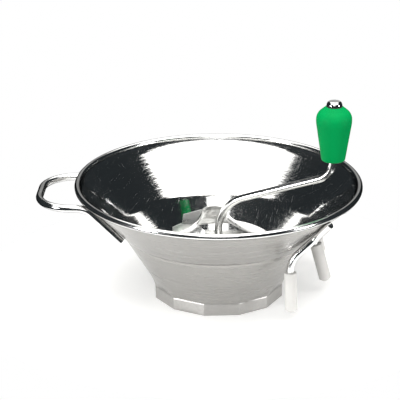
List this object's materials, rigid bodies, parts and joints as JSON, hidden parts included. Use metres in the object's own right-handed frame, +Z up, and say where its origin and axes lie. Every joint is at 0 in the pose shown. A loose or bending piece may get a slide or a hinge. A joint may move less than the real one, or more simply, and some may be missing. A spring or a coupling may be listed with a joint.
{
  "type": "hand cranked food mill (tomato strainer)",
  "caption": "Wide conical steel bowl with a loop handle and three leg rests; a bent crank with a green knob turns a sprung helical blade over a domed perforated sieve.",
  "frame": {"origin": "on the bowl's axis, in the plane of the band's lower edge, where the tool stands on a table or on a pot's rim", "axes": "+Z up along the bowl's axis; +X from the axis along the crank arm as the files show it; the loop handle stands 19.4 degrees from -X, towards -Y, and the middle leg nearly opposite it; +Y completes the right-handed frame"},
  "size_m": [0.3463, 0.31, 0.2354],
  "materials": {
    "bowl_steel": "satin, brushed round the bowl; tinned or stainless sheet",
    "rim_wire_steel": "drawn wire, plain",
    "handle_steel": "polished round wire",
    "leg_steel": "polished round wire",
    "sleeve_plastic": "soft satin, off-white",
    "sieve_steel": "pressed and punched sheet, satin",
    "bush_brass": "turned",
    "rod_steel": "polished round rod",
    "blade_steel": "pressed sheet, bright",
    "hub_steel": "turned",
    "washer_brass": "flat, plain",
    "washer_steel": "flat, plain",
    "spring_steel": "drawn spring wire",
    "nut_steel": "cast and plated",
    "knob_plastic": "glossy moulded, green",
    "dark_washer": "plain dark washer",
    "cap_chrome": "polished dome"
  },
  "bodies": {
    "strainer": {"bowl": "bowl_steel", "rim_wire": "rim_wire_steel", "handle_loop": "handle_steel", "front_leg_wire": "leg_steel", "middle_leg_wire": "leg_steel", "rear_leg_wire": "leg_steel", "front_foot_sleeve": "sleeve_plastic", "middle_foot_sleeve": "sleeve_plastic", "rear_foot_sleeve": "sleeve_plastic", "sieve_plate": "sieve_steel", "sieve_bush": "bush_brass"},
    "turntable": {"spring_top_washer": "washer_steel"},
    "crank": {"crank_rod": "rod_steel", "upper_blade": "blade_steel", "lower_blade": "blade_steel", "blade_fin": "blade_steel", "blade_hub": "hub_steel", "thrust_washer": "washer_brass", "spring_lower_washer": "washer_steel", "pressure_spring": "spring_steel", "wing_nut": "nut_steel", "knob_stop_washer": "washer_steel", "knob_top_washer": "dark_washer", "cap_nut": "cap_chrome"},
    "knob_body": {"knob": "knob_plastic"}
  },
  "joints": [
    {"name": "crank_turn", "type": "hinge", "parent": "strainer", "child": "turntable", "pos_m": [0, 0, 0.0185], "axis": [0, 0, 1], "continuous": true},
    {"name": "blade_lift", "type": "slide", "parent": "turntable", "child": "crank", "axis": [0, 0, 1], "range_m": [0, 0.003], "stiffness_N_per_m": 4000, "springref_m": -0.004, "deforming": ["pressure_spring"]},
    {"name": "knob_spin", "type": "hinge", "parent": "crank", "child": "knob_body", "pos_m": [0.1295, 0, 0.2], "axis": [0, 0, 1], "continuous": true}
  ]
}
